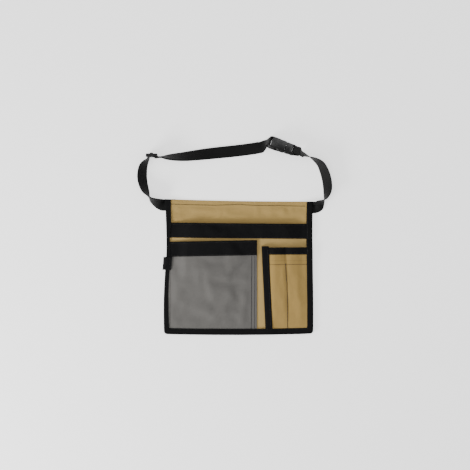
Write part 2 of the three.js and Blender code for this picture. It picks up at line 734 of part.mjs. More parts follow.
const slotHalf = beltWidth / 2 + slotPlay;
const slideHalf = slideLength / 2;
const slidePlan = platePlan([
  { along: -slideHalf, half: slideWidth / 2 - slideRail / 2 },
  { along: -slideHalf + slideRail / 2, half: slideWidth / 2 },
  { along: slideHalf - slideRail / 2, half: slideWidth / 2 },
  { along: slideHalf, half: slideWidth / 2 - slideRail / 2 },
]);
const slideEnd = bar / 2 + slideSlot;
const slideSolid = slab(slidePlan, slideThick, slideThick * 0.2)
  .subtract(block(bar / 2, slideEnd, -slotHalf, slotHalf, -slideThick, slideThick))
  .subtract(block(-slideEnd, -bar / 2, -slotHalf, slotHalf, -slideThick, slideThick));
addPiece('strap_slide', toGeometry(slideSolid), 'blackPlastic', frameMatrix(slideFrame));

// Cuts for a strap bar: the slot beside it, the plate's end beyond it, and the plate thinned to the bar
function barCuts(solid, barAlong, side) {
  const beyond = barAlong - side * bar * 3;
  const end = [beyond, barAlong - side * bar / 2].sort((a, b) => a - b);
  const edges = [barAlong + side * bar / 2, barAlong + side * (bar / 2 + strapSlot)].sort((a, b) => a - b);
  const thin = [beyond, barAlong + side * bar].sort((a, b) => a - b);
  return solid
    .subtract(block(edges[0], edges[1], -slotHalf, slotHalf, -buckleThick, buckleThick))
    .subtract(block(end[0], end[1], -slotHalf, slotHalf, -buckleThick, buckleThick))
    .subtract(block(thin[0], thin[1], -slotHalf, slotHalf, bar / 2, buckleThick))
    .subtract(block(thin[0], thin[1], -slotHalf, slotHalf, -buckleThick, -bar / 2));
}

const socketHalf = socketWidth / 2;
const socketStart = partingAlong - socketLength;
const socketPlan = platePlan([
  { along: socketStart, half: socketHalf * 0.765 },
  { along: socketStart + bar * 0.8, half: socketHalf * 0.91 },
  { along: socketStart + bar * 2.3, half: socketHalf },
  { along: partingAlong - windowLength * 1.5, half: socketHalf },
  { along: partingAlong - windowLength, half: socketHalf * 0.94 },
  { along: partingAlong - bar * 1.5, half: socketHalf * 0.94 },
  { along: partingAlong, half: socketHalf * 0.88 },
]);
const hollowHalf = socketHalf - buckleWall;
const hollowHigh = buckleThick / 2 - roofWall;
const hollowEnd = partingAlong - prongReach - prongWidth;
const windowEnd = partingAlong - prongReach - partingGap;
const windowStart = windowEnd + windowLength;
const socketSolid = barCuts(slab(socketPlan, buckleThick, buckleEdge), socketBar, 1)
  .subtract(block(hollowEnd, partingAlong + 1, -hollowHalf, hollowHalf, -hollowHigh, hollowHigh))
  .subtract(block(windowEnd, windowStart, hollowHalf - 1, socketHalf + 1, -hollowHigh, hollowHigh))
  .subtract(block(windowEnd, windowStart, -socketHalf - 1, 1 - hollowHalf, -hollowHigh, hollowHigh));
addPiece('buckle_socket', toGeometry(socketSolid), 'blackPlastic', frameMatrix(buckleFrame));

const plugHalf = plugWidth / 2;
const plugEnd = partingAlong + plugLength;
const plugPlan = platePlan([
  { along: partingAlong + partingGap, half: plugHalf },
  { along: partingAlong + plugLength * 0.32, half: plugHalf },
  { along: partingAlong + plugLength * 0.45, half: plugHalf * 0.95 },
  { along: plugEnd - plugLength * 0.22, half: plugHalf * 0.975 },
  { along: plugEnd, half: plugHalf * 0.81 },
]);
const prongRoot = bar * 0.8;
const prongOuter = hollowHalf * 0.92;
const prongPlan = new THREE.Shape();
prongPlan.moveTo(partingAlong + prongRoot, prongOuter - prongWidth);
prongPlan.lineTo(partingAlong + prongRoot, prongOuter);
prongPlan.lineTo(windowStart - partingGap, prongOuter);
prongPlan.lineTo(windowStart - partingGap, socketHalf * 0.965);
prongPlan.lineTo(windowEnd + windowLength / 2, socketHalf * 0.92);
prongPlan.lineTo(windowEnd + partingGap, prongOuter);
prongPlan.lineTo(windowEnd + partingGap, prongOuter - prongWidth);
prongPlan.closePath();
const prong = slab(prongPlan, prongThick, 0);
const guideStart = partingAlong - prongReach * 0.75;
const guideEnd = partingAlong + prongRoot;
const guide = block(guideStart, guideEnd, -bar, bar, -prongThick / 2, prongThick / 2);
const plugSolid = barCuts(slab(plugPlan, buckleThick - buckleEdge, buckleEdge), plugBar, -1)
  .add(prong)
  .add(prong.mirror([0, 1, 0]))
  .add(guide);
addPiece('buckle_plug', toGeometry(plugSolid), 'blackPlastic', frameMatrix(buckleFrame));

export default apron;
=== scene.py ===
"""A carpenter's nail apron lying on a pale floor, seen from straight above.

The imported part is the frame. Its cloth is given folds and weave, its straps are laid again along the same
route with a woven face, the buckle gets its moulded ribs, and every seam gets its stitches.
"""

import logging
import math
from dataclasses import dataclass, field
from enum import Enum
from itertools import combinations
from typing import Callable, Optional

import bmesh
import bpy
from mathutils import Matrix, Vector, noise
from mathutils.bvhtree import BVHTree


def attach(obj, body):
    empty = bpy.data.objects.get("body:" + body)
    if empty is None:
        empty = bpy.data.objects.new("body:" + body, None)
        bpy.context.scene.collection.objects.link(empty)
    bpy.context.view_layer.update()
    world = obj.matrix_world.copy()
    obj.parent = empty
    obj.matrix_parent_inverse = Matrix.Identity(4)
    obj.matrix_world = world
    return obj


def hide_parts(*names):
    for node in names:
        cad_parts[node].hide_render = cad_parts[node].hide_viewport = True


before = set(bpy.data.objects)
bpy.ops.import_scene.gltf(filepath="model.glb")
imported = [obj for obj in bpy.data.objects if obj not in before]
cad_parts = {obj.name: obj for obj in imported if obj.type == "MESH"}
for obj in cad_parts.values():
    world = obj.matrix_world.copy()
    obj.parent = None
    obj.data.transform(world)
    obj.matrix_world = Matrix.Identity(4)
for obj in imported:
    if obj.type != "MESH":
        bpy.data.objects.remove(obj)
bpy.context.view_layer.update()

MM = 0.001
LOG = logging.getLogger("apron")
Colour = tuple[float, float, float]
Place = tuple[float, float]


class Slot(Enum):
    """The record's material slots."""

    TAN = "tan_canvas"
    GREY = "grey_canvas"
    TAPE = "black_tape"
    WEBBING = "black_webbing"
    PLASTIC = "black_plastic"


def from_srgb(red: int, green: int, blue: int) -> Colour:
    """A display colour of 0 to 255 a channel as the linear colour that shaders take.

    Args:
        red: the red channel.
        green: the green channel.
        blue: the blue channel.

    Returns:
        The linear colour.
    """

    def linear(value: int) -> float:
        """One channel, linear."""
        share = value / 255
        return share / 12.92 if share <= 0.04045 else ((share + 0.055) / 1.055) ** 2.4

    return linear(red), linear(green), linear(blue)


class Term:
    """A socket or a number in a shader, which takes Python's operators."""

    def __init__(self, graph: "Graph", value: object) -> None:
        """Keeps the graph and the socket or number."""
        self.graph = graph
        self.value = value

    def _math(self, operation: str, *others: object) -> "Term":
        """A Math node of that operation on this term and the others."""
        inputs = {k: other for k, other in enumerate((self, *others))}
        return self.graph.node("ShaderNodeMath", {"operation": operation}, inputs)

    def __add__(self, other: object) -> "Term":
        """Sum."""
        return self._math("ADD", other)

    def __radd__(self, other: object) -> "Term":
        """Sum, reflected."""
        return self._math("ADD", other)

    def __sub__(self, other: object) -> "Term":
        """Difference."""
        return self._math("SUBTRACT", other)

    def __rsub__(self, other: object) -> "Term":
        """Difference, reflected."""
        return Term(self.graph, other)._math("SUBTRACT", self)

    def __mul__(self, other: object) -> "Term":
        """Product."""
        return self._math("MULTIPLY", other)

    def __rmul__(self, other: object) -> "Term":
        """Product, reflected."""
        return self._math("MULTIPLY", other)

    def __truediv__(self, other: object) -> "Term":
        """Quotient."""
        return self._math("DIVIDE", other)

    def __rtruediv__(self, other: object) -> "Term":
        """Quotient, reflected."""
        return Term(self.graph, other)._math("DIVIDE", self)

    def __abs__(self) -> "Term":
        """Absolute value."""
        return self._math("ABSOLUTE")

    def sin(self) -> "Term":
        """Sine."""
        return self._math("SINE")

    def fold(self, reach: float) -> "Term":
        """The term folded to and fro between 0 and a reach."""
        return self._math("PINGPONG", reach)

    def between(self, low: float, high: float) -> "Term":
        """The share of the way from low to high, smooth and held to 0 and 1."""
        settings = {"interpolation_type": "SMOOTHSTEP"}
        inputs = {"Value": self, "From Min": low, "From Max": high}
        return self.graph.node("ShaderNodeMapRange", settings, inputs)


class Graph:
    """The node tree of one material."""

    MIX_SHARE, MIX_FIRST, MIX_SECOND, MIX_RESULT = 0, 6, 7, 2

    def __init__(self, name: str) -> None:
        """Starts a material with its output and main shader."""
        self.material = bpy.data.materials.new(name)
        self.material.use_nodes = True
        self.tree = self.material.node_tree
        self.tree.nodes.clear()
        self.shader = self.tree.nodes.new("ShaderNodeBsdfPrincipled")
        output = self.tree.nodes.new("ShaderNodeOutputMaterial")
        self.tree.links.new(self.shader.outputs["BSDF"], output.inputs["Surface"])

    def node(
        self, kind: str, settings: dict[str, object], inputs: dict[object, object], output: object = 0
    ) -> Term:
        """Adds a node.

        Args:
            kind: the node's type.
            settings: its properties by name.
            inputs: numbers, colours or terms by socket name or number.
            output: the socket handed back.

        Returns:
            That output as a term.
        """
        made = self.tree.nodes.new(kind)
        for name, value in settings.items():
            setattr(made, name, value)
        for name, value in inputs.items():
            inner = value.value if isinstance(value, Term) else value
            if isinstance(inner, bpy.types.NodeSocket):
                self.tree.links.new(inner, made.inputs[name])
            else:
                made.inputs[name].default_value = inner
        return Term(self, made.outputs[output])

    def place(self) -> tuple[Term, Term, Term]:
        """The point's place on its object, in millimetres, as three terms."""
        return self._split(self.node("ShaderNodeTexCoord", {}, {}, "Object"))

    def run(self) -> tuple[Term, Term, Term]:
        """The place along and across a strap from its own map, in millimetres."""
        return self._split(self.node("ShaderNodeTexCoord", {}, {}, "UV"))

    def _split(self, vector: Term) -> tuple[Term, Term, Term]:
        """A vector in metres as three terms in millimetres."""
        parts = [self.node("ShaderNodeSeparateXYZ", {}, {0: vector}, axis) for axis in "XYZ"]
        return tuple(part / MM for part in parts)

    def cloud(self, size: float, stretch: tuple[float, float, float] = (1, 1, 1), detail: float = 3) -> Term:
        """Soft noise of 0 to 1 on object coordinates.

        Args:
            size: width of its patches in millimetres.
            stretch: how far the patches are drawn out along each axis.
            detail: number of finer layers.

        Returns:
            The noise.
        """
        coordinates = self.node("ShaderNodeTexCoord", {}, {}, "Object")
        scale = tuple(1 / drawn for drawn in stretch)
        turned = self.node("ShaderNodeMapping", {}, {"Vector": coordinates, "Scale": scale})
        inputs = {"Vector": turned, "Scale": 1 / (size * MM), "Detail": detail}
        return self.node("ShaderNodeTexNoise", {}, inputs)

    def blend(self, share: Term, first: Colour, second: Colour) -> Term:
        """A colour between two, by a term of 0 to 1."""
        inputs = {self.MIX_SHARE: share, self.MIX_FIRST: (*first, 1), self.MIX_SECOND: (*second, 1)}
        return self.node("ShaderNodeMix", {"data_type": "RGBA"}, inputs, self.MIX_RESULT)

    def set(self, **sockets: object) -> None:
        """Sets the main shader's sockets, whose names have spaces for underscores."""
        for name, value in sockets.items():
            socket = self.shader.inputs[name.replace("_", " ")]
            if isinstance(value, Term):
                self.tree.links.new(value.value, socket)
            else:
                socket.default_value = value

    def bump(self, height: Term, strength: float, depth: float) -> None:
        """Raises the surface by a height of 0 to 1 times a depth in millimetres."""
        inputs = {"Strength": strength, "Distance": depth * MM, "Height": height}
        self.set(Normal=self.node("ShaderNodeBump", {}, inputs))


def scaled(colour: Colour, by: float) -> Colour:
    """A colour made lighter or darker."""
    return tuple(min(1.0, channel * by) for channel in colour)


@dataclass(frozen=True)
class Woven:
    """Plain woven cloth: canvas, and with a finer thread the tapes."""

    name: str
    colour: Colour
    thread: float = 0.9
    roughness: float = 0.9
    sheen: float = 0.25
    mottle: float = 0.08
    relief: float = 0.25
    specular: float = 0.2

    def material(self) -> bpy.types.Material:
        """The cloth with its threads crossing over and under, uneven yarn and worn patches, and painted
        shade where the threads dip.
        """
        graph = Graph(self.name)
        x, y, _ = graph.place()
        warp = (x * (math.pi / self.thread)).sin()
        weft = (y * (math.pi / self.thread)).sin()
        over = (warp * weft).between(-0.35, 0.35)
        weave = abs(warp) * over + abs(weft) * (1 - over)
        slubs = graph.cloud(1.6, (1, 9, 1)) * 0.5 + graph.cloud(1.6, (9, 1, 1)) * 0.5
        worn = graph.cloud(46, detail=4)
        # The colour mixes uneven yarn and worn patches with painted shade: a little darker where the weave's
        # threads dip between their crossings.
        shade = (slubs * 0.45 + worn * 0.4 + weave * 0.15).between(0.2, 0.8)
        dark = scaled(self.colour, 1 - self.mottle)
        light = scaled(self.colour, 1 + self.mottle)
        graph.set(
            Base_Color=graph.blend(shade, dark, light),
            Roughness=self.roughness - 0.1 * worn,
            Sheen_Weight=self.sheen,
            Sheen_Roughness=0.5,
            Specular_IOR_Level=self.specular,
        )
        graph.bump(weave * 0.75 + slubs * 0.25, 0.6, self.relief)
        return graph.material


@dataclass(frozen=True)
class Webbed:
    """Ribbed nylon webbing, patterned along its own length."""

    name: str
    colour: Colour
    rib: float = 1.6
    slant: float = 1.3

    def material(self) -> bpy.types.Material:
        """The webbing with its lengthwise ribs, slanting picks and fuzzed selvedges, darker in the hollows
        between them and lighter on their crowns as painted shade and light.
        """
        graph = Graph(self.name)
        along, across, _ = graph.run()
        ribs = abs((across * (math.pi / self.rib)).sin())
        picks = ((along + across.fold(self.rib) * self.slant) * (math.pi / self.rib)).sin() * 0.5 + 0.5
        fuzz = graph.cloud(2.2, detail=4)
        worn = graph.cloud(30)
        height = ribs * 0.6 + picks * 0.4
        # Painted light and shade: the colour follows the ribs' and picks' height, darker in their hollows
        # and lighter on their crowns, mixed with random fuzz and worn patches.
        shade = (height * 0.45 + fuzz * 0.3 + worn * 0.25).between(0.2, 0.85)
        graph.set(
            Base_Color=graph.blend(shade, scaled(self.colour, 0.7), scaled(self.colour, 1.35)),
            Roughness=0.72 - 0.12 * worn,
            Sheen_Weight=0.02,
            Sheen_Roughness=0.4,
            Specular_IOR_Level=0.15,
        )
        graph.bump(height * 0.85 + fuzz * 0.15, 0.7, 0.3)
        return graph.material


@dataclass(frozen=True)
class Moulded:
    """Moulded plastic with a fine grain and scuffed spots."""

    name: str
    colour: Colour
    roughness: float = 0.38

    def material(self) -> bpy.types.Material:
        """The plastic with its grain, and rougher where it is scuffed."""
        graph = Graph(self.name)
        grain = graph.cloud(0.7, detail=2)
        scuffs = graph.cloud(9, detail=5).between(0.45, 0.7)
        graph.set(
            Base_Color=graph.blend(scuffs, self.colour, scaled(self.colour, 1.5)),
            Roughness=self.roughness + 0.18 * scuffs,
            Specular_IOR_Level=0.25,
        )
        graph.bump(grain, 0.25, 0.08)
        return graph.material


@dataclass(frozen=True)
class Floor:
    """The pale paper that the apron lies on."""

    colour: Colour = (0.93, 0.93, 0.93)
    glow: float = 1.1

    def material(self) -> bpy.types.Material:
        """Matt pale paper."""
        graph = Graph("pale_paper")
        tone = graph.cloud(120)
        graph.set(
            Base_Color=graph.blend(tone, scaled(self.colour, 0.99), self.colour),
            Roughness=0.9,
            Specular_IOR_Level=0.1,
            Emission_Color=(1, 1, 1, 1),
            Emission_Strength=self.glow,
        )
        return graph.material


def deselect() -> None:
    """Leaves edit mode and selects nothing."""
    if bpy.context.mode != "OBJECT":
        bpy.ops.object.mode_set(mode="OBJECT")
    bpy.ops.object.select_all(action="DESELECT")


def choose(piece: bpy.types.Object) -> None:
    """Selects one piece alone and makes it the active one."""
    deselect()
    piece.select_set(True)
    bpy.context.view_layer.objects.active = piece


def edit(piece: bpy.types.Object, *steps: Callable[[], object]) -> None:
    """Runs edit-mode steps on the whole of a piece.

    Args:
        piece: the piece.
        steps: calls without arguments, run in order with everything selected before each.
    """
    choose(piece)
    bpy.ops.object.mode_set(mode="EDIT")
    for step in steps:
        bpy.ops.mesh.select_all(action="SELECT")
        step()
    bpy.ops.object.mode_set(mode="OBJECT")


def finish_modifier(piece: bpy.types.Object, kind: str, **settings: object) -> None:
    """Adds a modifier to a piece and applies it.

    Args:
        piece: the piece.
        kind: the modifier's type.
        settings: its properties.
    """
    choose(piece)
    modifier = piece.modifiers.new(kind.lower(), kind)
    for name, value in settings.items():
        setattr(modifier, name, value)
    bpy.ops.object.modifier_apply(modifier=modifier.name)


def round_edges(piece: bpy.types.Object, width: float, segments: int, angle: float) -> None:
    """Bevels the sharp edges of a piece.

    Args:
        piece: the piece.
        width: the bevel's width in millimetres.
        segments: faces across the bevel.
        angle: edges sharper than this, in degrees, are bevelled.
    """
    limits = {"limit_method": "ANGLE", "angle_limit": math.radians(angle)}
    finish_modifier(piece, "BEVEL", width=width * MM, segments=segments, **limits)


def settle(piece: bpy.types.Object) -> None:
    """Puts a piece's place, turn and size into its mesh."""
    choose(piece)
    bpy.ops.object.transform_apply(location=True, rotation=True, scale=True)


def dress(
    piece: bpy.types.Object,
    material: bpy.types.Material,
    angle: float = 40,
) -> None:
    """Gives a piece its one material, smooth faces and the body it rides on.

    Args:
        piece: the piece, its mesh in place.
        material: the finish.
        angle: edges sharper than this, in degrees, stay sharp.
    """
    piece.data.materials.clear()
    piece.data.materials.append(material)
    choose(piece)
    bpy.ops.object.shade_smooth_by_angle(angle=math.radians(angle))
    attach(piece, "root")
    LOG.info("%s: %d faces", piece.name, len(piece.data.polygons))


def copy_node(node: str, name: str) -> bpy.types.Object:
    """A merged copy of a CAD node's mesh.

    Args:
        node: the CAD node.
        name: the new piece's name.

    Returns:
        The new piece.
    """
    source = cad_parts[node]
    piece = bpy.data.objects.new(name, source.data.copy())
    bpy.context.collection.objects.link(piece)
    piece.data.transform(source.matrix_world)
    piece.data.materials.clear()
    edit(
        piece,
        lambda: bpy.ops.mesh.remove_doubles(threshold=0.01 * MM),
        lambda: bpy.ops.mesh.tris_convert_to_quads(face_threshold=0.7, shape_threshold=0.7),
    )
    return piece


class Heights:
    """Heights of the topmost surface of some pieces, found from above."""

    def __init__(self, pieces: list[bpy.types.Object]) -> None:
        """Builds a search tree of each piece."""
        self.trees = []
        for piece in pieces:
            mesh = bmesh.new()
            mesh.from_mesh(piece.data)
            bmesh.ops.transform(mesh, matrix=piece.matrix_world, verts=mesh.verts)
            self.trees.append(BVHTree.FromBMesh(mesh))
            mesh.free()

    def at(self, x: float, y: float) -> Optional[float]:
        """The height in metres over a place, or None beside the pieces."""
        start, down = Vector((x, y, 1)), Vector((0, 0, -1))
        found = [tree.ray_cast(start, down)[0] for tree in self.trees]
        levels = [hit.z for hit in found if hit]
        return max(levels) if levels else None


def smooth(share: float) -> float:
    """A share held to 0 and 1 and eased at both ends."""
    held = min(1.0, max(0.0, share))
    return held * held * (3 - 2 * held)


def from_line(start: Place, end: Place, x: float, y: float) -> tuple[float, float]:
    """How a place lies to a line.

    Args:
        start: the line's start.
        end: its end.
        x: the place's first coordinate.
        y: its second.

    Returns:
        The share of the line at which it passes nearest to the place, and how far away that is.
    """
    along = Vector(end) - Vector(start)
    to_place = Vector((x, y)) - Vector(start)
    share = min(1.0, max(0.0, to_place.dot(along) / along.length_squared))
    return share, (to_place - share * along).length


@dataclass(frozen=True)
class Fold:
    """A soft ridge, or a dent if its height is negative, along a line in the cloth. Millimetres."""

    start: Place
    end: Place
    width: float
    height: float

    def at(self, x: float, y: float) -> float:
        """How high the fold stands over a place."""
        share, away = from_line(self.start, self.end, x, y)
        fade = 0.4 + 0.6 * math.sin(math.pi * min(0.9, max(0.1, share)))
        return self.height * fade * math.exp(-((away / self.width) ** 2))


@dataclass
class Drape:
    """How one sheet of cloth rises and sinks between its seams. Millimetres."""

    node: str
    below: list[str]
    low: Place
    high: Place
    open_top: bool
    folds: list[Fold]
    reach: float
    held_lines: list[tuple[Place, Place]] = field(default_factory=list)
    ease: float = 13
    cell: float = 4
    wall: float = 1.0
    clear: float = 0.35
    slack: float = 0.03
    frames: int = 18
    softenings: int = 2
    broadness: int = 60
    press: float = 0.0

    def build(self) -> None:
        """Finds the room under the cloth and lets the cloth settle."""
        self.columns = max(2, round((self.high[0] - self.low[0]) / self.cell))
        self.rows = max(2, round((self.high[1] - self.low[1]) / self.cell))
        tops = Heights([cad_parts[self.node]])
        floors = Heights([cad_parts[name] for name in self.below]) if self.below else None
        levels, rooms = [], []
        for place in self._places():
            top = tops.at(place[0] * MM, place[1] * MM)
            floor = (floors.at(place[0] * MM, place[1] * MM) if floors else 0.0) or 0.0
            levels.append(top)
            rooms.append(0.0 if top is None else max(0.0, (top - floor) / MM - self.wall - self.clear))
        ground = min(level for level in levels if level is not None)
        start = [
            (ground if level is None else level) / MM + self._shape(*place)
            for level, place in zip(levels, self._places())
        ]
        wrinkles = self._wrinkles(start)
        self.moves = []
        for place, level, wrinkle, room in zip(self._places(), levels, wrinkles, rooms):
            move = 0.0 if level is None else self._shape(*place) + wrinkle - room * self.press
            self.moves.append(max(-room, -self.reach, min(self.reach, move)) * self.freedom(*place))
        self.moves = self._softened(self.moves, self.softenings)
        LOG.info("%s: moves %.2f to %.2f mm", self.node, min(self.moves), max(self.moves))

    def _wrinkles(self, start: list[float]) -> list[float]:
        """What the settling cloth does, less its broad swell, which the pocket's own form already has."""
        swell = [end - begin for end, begin in zip(self._simulate(start), start)]
        broad = self._softened(swell, self.broadness)
        return [whole - part for whole, part in zip(swell, broad)]

    def _softened(self, values: list[float], times: int) -> list[float]:
        """Evens out each value of the grid with those beside it.

        Args:
            values: a value for each place.
            times: how often to even them out.

        Returns:
            The softened values.
        """
        width = self.columns + 1
        for _ in range(times):
            before = list(values)
            values = []
            for index, value in enumerate(before):
                row, column = divmod(index, width)
                beside = [
                    index - 1 if column else index,
                    index + 1 if column < self.columns else index,
                    index - width if row else index,
                    index + width if row < self.rows else index,
                ]
                values.append(value / 2 + sum(before[k] for k in beside) / 8)
        return values

    def _places(self) -> list[Place]:
        """The places of the grid, row by row from the lowest."""
        return [
            (
                self.low[0] + (self.high[0] - self.low[0]) * column / self.columns,
                self.low[1] + (self.high[1] - self.low[1]) * row / self.rows,
            )
            for row in range(self.rows + 1)
            for column in range(self.columns + 1)
        ]

    def _shape(self, x: float, y: float) -> float:
        """Folds and a little unevenness that the cloth starts from."""
        broad = noise.noise(Vector((x / 38, y / 38, 3.1))) * 0.5
        fine = noise.noise(Vector((x / 15, y / 15, 8.4))) * 0.2
        return sum(fold.at(x, y) for fold in self.folds) + broad + fine

    def freedom(self, x: float, y: float) -> float:
        """How free the cloth is at a place, from 0 at a seam to 1 well inside."""
        gaps = [x - self.low[0], self.high[0] - x, y - self.low[1]]
        if not self.open_top:
            gaps.append(self.high[1] - y)
        gaps += [from_line(start, end, x, y)[1] for start, end in self.held_lines]
        return smooth(min(gaps) / self.ease)

    def _simulate(self, start: list[float]) -> list[float]:
        """Lets a slightly slack sheet of cloth, held at its seams, settle into wrinkles.

        Args:
            start: heights of the grid's places.

        Returns:
            The settled heights.
        """
        deselect()
        bpy.ops.mesh.primitive_grid_add(x_subdivisions=self.columns, y_subdivisions=self.rows, size=1)
        sheet = bpy.context.object
        sheet.name = f"settling_{self.node}"
        order = sorted(range(len(sheet.data.vertices)), key=lambda k: self._grid_key(sheet, k))
        pins = sheet.vertex_groups.new(name="pins")
        for index, height, (x, y) in zip(order, start, self._places()):
            sheet.data.vertices[index].co = Vector((x, y, height)) * MM
            if self.freedom(x, y) < 0.05:
                pins.add([index], 1.0, "REPLACE")
        cloth = sheet.modifiers.new("settle", "CLOTH")
        cloth.settings.quality = 6
        cloth.settings.mass = 0.05
        cloth.settings.tension_stiffness = 20
        cloth.settings.compression_stiffness = 20
        cloth.settings.shear_stiffness = 8
        cloth.settings.bending_stiffness = 0.6
        cloth.settings.shrink_min = -self.slack
        cloth.settings.vertex_group_mass = pins.name
        cloth.settings.effector_weights.gravity = 0.0
        cloth.point_cache.frame_start = 1
        cloth.point_cache.frame_end = self.frames
        for number in range(1, self.frames + 1):
            bpy.context.scene.frame_set(number)
        choose(sheet)
        bpy.ops.object.modifier_apply(modifier=cloth.name)
        bpy.context.scene.frame_set(1)
        settled = [sheet.data.vertices[index].co.z / MM for index in order]
        bpy.data.objects.remove(sheet)
        return settled

    def _grid_key(self, sheet: bpy.types.Object, index: int) -> tuple[int, int]:
        """The row and column of a new grid's point."""
        place = sheet.data.vertices[index].co
        return round((place.y + 0.5) * self.rows), round((place.x + 0.5) * self.columns)

    def lift(self, x: float, y: float) -> float:
        """How far the cloth has moved up at a place, in millimetres."""
        across = (x - self.low[0]) / (self.high[0] - self.low[0]) * self.columns
        up = (y - self.low[1]) / (self.high[1] - self.low[1]) * self.rows
        if across < 0 or up < 0 or across > self.columns or (up > self.rows and not self.open_top):
            return 0.0
        column = min(self.columns - 1, int(across))
        row = min(self.rows - 1, int(up))
        right, over = across - column, min(1.0, up - row)
        width = self.columns + 1
        corner = row * width + column
        lower = self.moves[corner] * (1 - right) + self.moves[corner + 1] * right
        upper = self.moves[corner + width] * (1 - right) + self.moves[corner + width + 1] * right
        return lower * (1 - over) + upper * over


@dataclass
class ClothPiece:
    """One cut of cloth or tape: the CAD node's form, made fine, rounded and draped."""

    node: str
    finish: Woven
    slot: Slot
    drape: Optional[Drape] = None
    ribs: float = 0.0
    rib_pitch: float = 3.2
    rounding: float = 0.22
    levels: int = 2

    def build(self) -> bpy.types.Object:
        """Makes the piece and lets it stand for its node.

        Returns:
            The piece.
        """
        self.piece = copy_node(self.node, f"{self.node}_cloth")
        self._crease()
        finish_modifier(self.piece, "SUBSURF", levels=self.levels, render_levels=self.levels)
        round_edges(self.piece, self.rounding, segments=2, angle=50)
        for vertex in self.piece.data.vertices:
            x, y = vertex.co.x / MM, vertex.co.y / MM
            move = self.drape.lift(x, y) if self.drape else 0.0
            if self.ribs:
                move += self.ribs * math.sin(2 * math.pi * y / self.rib_pitch)
            vertex.co.z = max(0.0, vertex.co.z + move * MM)
        dress(self.piece, self.finish.material())
        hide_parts(self.node)
        return self.piece

    def _crease(self) -> None:
        """Keeps the edges of the wall where they are when the piece is made fine."""
        choose(self.piece)
        bpy.ops.object.mode_set(mode="EDIT")
        bpy.ops.mesh.select_mode(type="EDGE")
        bpy.ops.mesh.select_all(action="DESELECT")
        bpy.ops.mesh.edges_select_sharp(sharpness=math.radians(40))
        bpy.ops.transform.edge_crease(value=1.0)
        bpy.ops.object.mode_set(mode="OBJECT")


